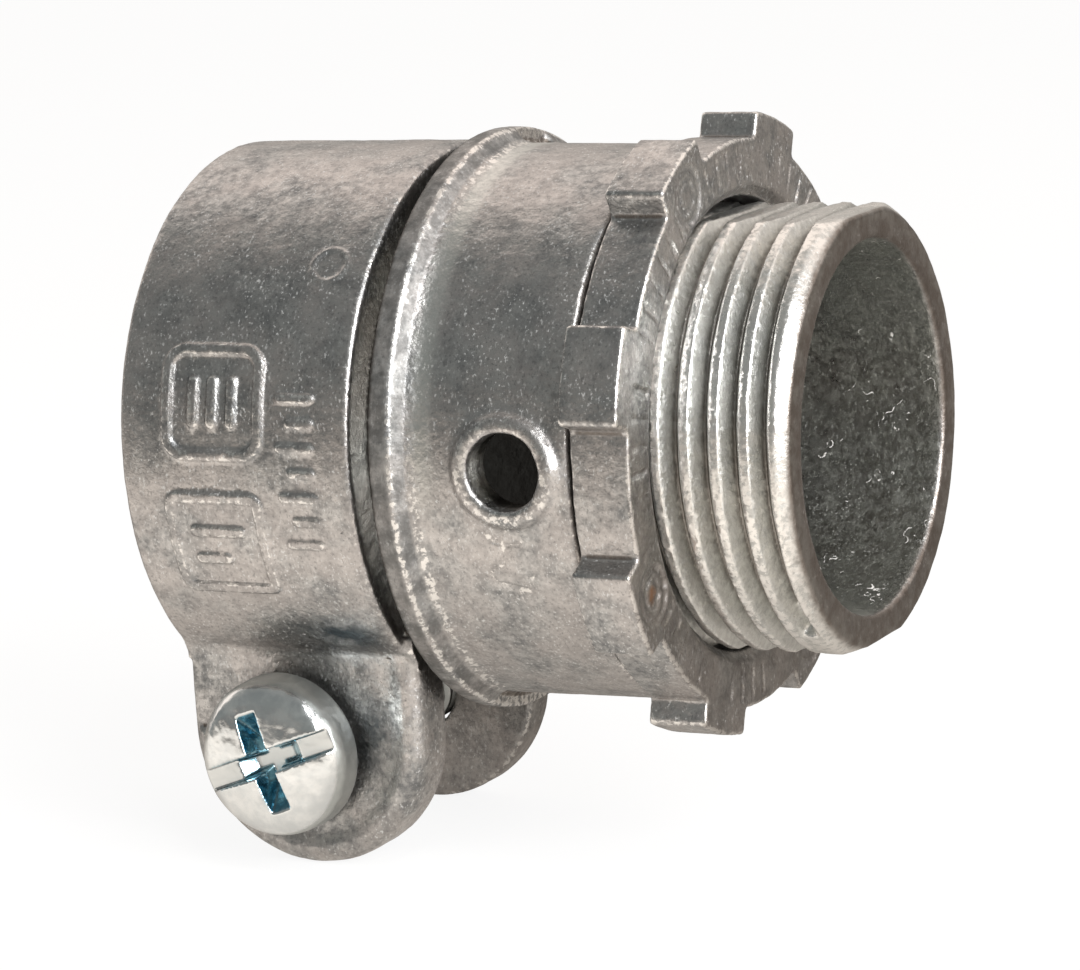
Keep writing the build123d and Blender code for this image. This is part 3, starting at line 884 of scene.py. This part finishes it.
def cast_zinc(name, seed, warmth):
    """As-cast zinc with bright edges, partly rubbed and partly painted highlight, painted shade in corners
    and each mask's own color.
    """
    t = Tree(bpy.data.materials.new(name))
    cloud = t.step(t.noise(1.3, 3.0, 0.6, seed + 1.3), 0.36, 0.66)
    fine = t.step(t.noise(0.42, 3.0, 0.65, seed + 3.1), 0.34, 0.66)
    grain = t.noise(0.16, 2.0, 0.6, seed + 5.7, (1.0, 1.0, 0.6))
    color, specks = bare_zinc(t, seed, warmth, cloud, fine, grain)
    # painted shade: the flange's sloped face painted dark
    color = t.paint(color, BEVEL_SHADE, t.mask("bevel_shade"), t.blend(cloud, 0.75, 0.35))
    color = t.paint(color, THROAT, t.mask("throat"), t.blend(cloud, 0.95, 0.6))
    # thread tone, and the painted sheen highlight band on the sleeve under the same mask
    color = t.paint(color, THREAD_AND_SHEEN, t.mask("thread"), t.blend(fine, 0.6, 0.9))
    color = t.paint(color, BRIGHT, t.mask("land"), t.step(fine, 0.0, 0.8, 0.15, 0.9))
    ragged = t.math("ADD", t.mask("wear_and_highlight"), t.math("MULTIPLY", t.math("SUBTRACT", fine, 0.6), 1.1))
    wear_and_highlight = t.math("MULTIPLY", t.step(ragged, 0.3, 0.8), t.step(t.mask("wear_and_highlight"), 0.05, 0.4))
    shade_share = t.math("MULTIPLY", t.step(t.mask("painted_shade"), 0.1, 0.9), t.step(grain, 0.25, 0.55, 0.6, 1.0))
    # bright edges: rubbed metal, and painted highlights on the thread crests, the flange's rim line and
    # the band at its foot
    color = t.paint(color, BRIGHT, wear_and_highlight, 0.85)
    # painted shade: inside corners, the far ear and the ring's front face inside the slot painted dark
    # brown
    color = t.paint(color, SHADE_BROWN, shade_share, 0.8)
    # painted shade in the groove bottoms of the thread
    color = t.paint(color, SHADE_BROWN, t.mask("root_shade"), 0.7)
    # painted shade: a dark patch above the near ear and a painted shadow beside the screw head
    color = t.paint(color, SHADE_PATCH, t.mask("shade_patch"), t.step(cloud, 0.0, 1.0, 1.0, 0.55))
    # end face at the opening: darker brown tone and painted shade; on the nut, painted shade low on its
    # face
    color = t.paint(color, FACE_TONE_AND_SHADE, t.mask("face_tone_and_shade"), t.blend(cloud, 0.95, 0.7))
    color = t.paint(color, RUST, t.mask("rust"), t.blend(fine, 0.4, 0.9))
    # painted shade: inside faces painted near black
    color = t.paint(color, HOLLOW_SHADE, t.mask("inside"), 0.93)
    scratch = throat_scratches(t, seed, fine)
    color = t.mix(scratch, color, BRIGHT)
    rough = t.blend(fine, 0.40, 0.27)
    rough = t.blend(cloud, t.math("ADD", rough, 0.05), rough)
    rough = t.blend(specks, rough, 0.6)
    rough = t.blend(wear_and_highlight, rough, 0.28)
    rough = t.blend(shade_share, rough, 0.55)
    rough = t.blend(t.mask("bevel_shade"), rough, 0.62)
    normal = t.bump(t.noise(0.9, 3.0, 0.6, seed + 2.2), 0.07)
    normal = t.bump(t.noise(0.28, 2.0, 0.6, seed + 4.4), 0.022, under=normal)
    return t.metal(color, rough, normal, t.step(scratch, 0.2, 0.8, 1.0, 0.0))


def plated_steel():
    """Bright zinc plating with a cool tint in the recess and pale slot floors."""
    t = Tree(bpy.data.materials.new("plated_steel"))
    haze = t.step(t.noise(1.3, 3.0, 0.6, 1.0), 0.35, 0.7)
    tint = t.step(t.noise(0.8, 3.0, 0.6, 4.0), 0.35, 0.62)
    color = t.mix(haze, PLATE_SHADE, PLATE_LIGHT)
    color = t.paint(color, t.mix(tint, TEAL_SHADE, TEAL_LIGHT), t.mask("recess"), 0.9)
    # painted shade: the head's side and the shank painted dark
    color = t.paint(color, FLANK_SHADE, t.mask("flank"), 0.65)
    # painted shade in the screw's inside corners
    color = t.paint(color, SCREW_CORNER_SHADE, t.mask("painted_shade"), 0.6)
    color = t.paint(color, SLOT_FLOOR, t.mask("floor"), 0.7)
    rough = t.blend(haze, 0.10, 0.22)
    rough = t.blend(t.mask("flank"), rough, 0.4)
    rough = t.blend(t.mask("floor"), rough, 0.42)
    normal = t.bump(t.noise(1.6, 2.0, 0.5, 9.0), 0.14)
    normal = t.bump(t.noise(0.35, 3.0, 0.6, 2.0), 0.010, under=normal)
    return t.metal(color, rough, normal)


# ---------------------------------------------------------------- studio

def add_camera():
    """The camera, from its place, its heading, its tilt and its roll."""
    data = bpy.data.cameras.new("camera")
    data.sensor_width = 36.0
    data.lens = CAMERA_LENS
    data.clip_start = 0.01
    data.clip_end = 20.0
    camera = bpy.data.objects.new("camera", data)
    bpy.context.scene.collection.objects.link(camera)
    turn = Matrix.Rotation(math.radians(CAMERA_AZIMUTH), 4, "Z")
    tilt = Matrix.Rotation(math.radians(90.0 - CAMERA_ELEVATION), 4, "X")
    roll = Matrix.Rotation(math.radians(CAMERA_ROLL), 4, "Z")
    camera.matrix_world = Matrix.Translation(CAMERA_PLACE) @ turn @ tilt @ roll
    bpy.context.scene.camera = camera


# Each lamp's azimuth and elevation, its distance, width and height in metres, and its power
LAMPS = {
    "right_box": (62.0, 24.0, 0.5, 0.35, 0.3, 3.0),
    "spark": (45.0, 52.0, 0.5, 0.08, 0.08, 0.3),
}


def add_lamp(name, azimuth, elevation, distance, width, height, power):
    """A soft box that faces the object; azimuth from -Y towards +X."""
    data = bpy.data.lights.new(name, "AREA")
    data.shape = "RECTANGLE"
    data.size = width
    data.size_y = height
    data.energy = power
    lamp = bpy.data.objects.new(name, data)
    bpy.context.scene.collection.objects.link(lamp)
    turn = Matrix.Rotation(math.radians(azimuth), 4, "Z")
    tilt = Matrix.Rotation(math.radians(90.0 - elevation), 4, "X")
    lamp.matrix_world = turn @ tilt @ Matrix.Translation((0, 0, distance))


# Light that the room sends from each angle round X, from 0 at the front horizon up over the top
SKY = (
    (-180.0, (0.24, 0.225, 0.205)),
    (-90.0, (0.80, 0.75, 0.68)),
    (-15.0, (0.36, 0.345, 0.32)),
    (0.0, (0.22, 0.215, 0.205)),
    (18.0, (0.25, 0.26, 0.25)),
    (55.0, (0.225, 0.235, 0.23)),
    (90.0, (0.29, 0.29, 0.275)),
    (106.0, (1.00, 0.91, 0.84)),
    (126.0, (1.25, 1.12, 1.03)),
    (152.0, (0.70, 0.65, 0.60)),
    (180.0, (0.24, 0.225, 0.205)),
)


def add_world():
    """White to the camera; to all other rays a soft room, dark above the front and bright behind."""
    world = bpy.data.worlds.new("world")
    bpy.context.scene.world = world
    t = Tree(world, "Generated")
    split = t.add("ShaderNodeSeparateXYZ")
    t.put(t.place, split.inputs[0])
    turn = t.math("ARCTAN2", split.outputs[2], t.math("MULTIPLY", split.outputs[1], -1.0))
    share = t.math("MULTIPLY_ADD", turn, 1.0 / math.tau, 0.5)
    room = t.add("ShaderNodeBackground")
    t.put(t.ramp(share, [(angle / 360.0 + 0.5, light) for angle, light in SKY]), room.inputs[0])
    white = t.add("ShaderNodeBackground")
    t.put((1.0, 1.0, 1.0, 1.0), white.inputs[0])
    t.put(t.by_camera(room.outputs[0], white.outputs[0]), t.add("ShaderNodeOutputWorld").inputs[0])


# The floor's own light and its paint, as the object sees them and as the camera does
FLOOR_TO_OBJECT = ((0.66, 0.615, 0.565), (0.26, 0.245, 0.225))
FLOOR_TO_CAMERA = ((0.88, 0.88, 0.88), (0.16, 0.16, 0.16))

# Strength of that light to the object, by place along Y
FLOOR_GLOW_SPAN = 0.3
FLOOR_GLOW = (
    (-0.30, 0.2),
    (-0.13, 0.5),
    (-0.06, 1.15),
    (-0.035, 1.38),
    (-0.015, 0.8),
    (0.02, 0.12),
    (0.09, 0.06),
    (0.25, 0.3),
)


def floor_material():
    """Nearly white to the camera; to all other rays a glow that changes from front to back."""
    t = Tree(bpy.data.materials.new("floor"))
    split = t.add("ShaderNodeSeparateXYZ")
    t.put(t.place, split.inputs[0])
    span = t.add("ShaderNodeMapRange")
    t.put(split.outputs[1], span.inputs["Value"])
    t.put(-FLOOR_GLOW_SPAN, span.inputs["From Min"])
    t.put(FLOOR_GLOW_SPAN, span.inputs["From Max"])
    stops = [(0.5 + place / (2 * FLOOR_GLOW_SPAN), (glow, glow, glow)) for place, glow in FLOOR_GLOW]
    strength = t.ramp(span.outputs[0], stops)
    seen = []
    for (light, paint), power in ((FLOOR_TO_OBJECT, strength), (FLOOR_TO_CAMERA, 1.0)):
        emission = t.add("ShaderNodeEmission")
        t.put((*light, 1.0), emission.inputs[0])
        t.put(power, emission.inputs[1])
        diffuse = t.add("ShaderNodeBsdfDiffuse")
        t.put((*paint, 1.0), diffuse.inputs[0])
        both = t.add("ShaderNodeAddShader")
        t.put(emission.outputs[0], both.inputs[0])
        t.put(diffuse.outputs[0], both.inputs[1])
        seen.append(both.outputs[0])
    t.put(t.by_camera(*seen), t.add("ShaderNodeOutputMaterial").inputs[0])
    return t.owner


def add_floor():
    """A wide pale floor at the object's lowest point."""
    half = 1.5
    corners = ((-half, -half), (half, -half), (half, half), (-half, half))
    bm = bmesh.new()
    bm.faces.new([bm.verts.new((x, y, FLOOR_Z)) for x, y in corners])
    floor = bpy.data.objects.new("floor", mesh_of(bm, "floor"))
    bpy.context.scene.collection.objects.link(floor)
    floor.data.materials.append(floor_material())


def main():
    bpy.context.scene.view_settings.view_transform = "Standard"
    add_camera()
    add_world()
    add_floor()
    for name, settings in LAMPS.items():
        add_lamp(name, *settings)
    zinc = cast_zinc("cast_zinc", seed=0.0, warmth=0.02)
    for piece in (make_casting(), make_clamp_ring()):
        piece.data.materials.append(zinc)
    make_locknut().data.materials.append(cast_zinc("nut_zinc", seed=20.0, warmth=0.0))
    make_screw().data.materials.append(plated_steel())


main()
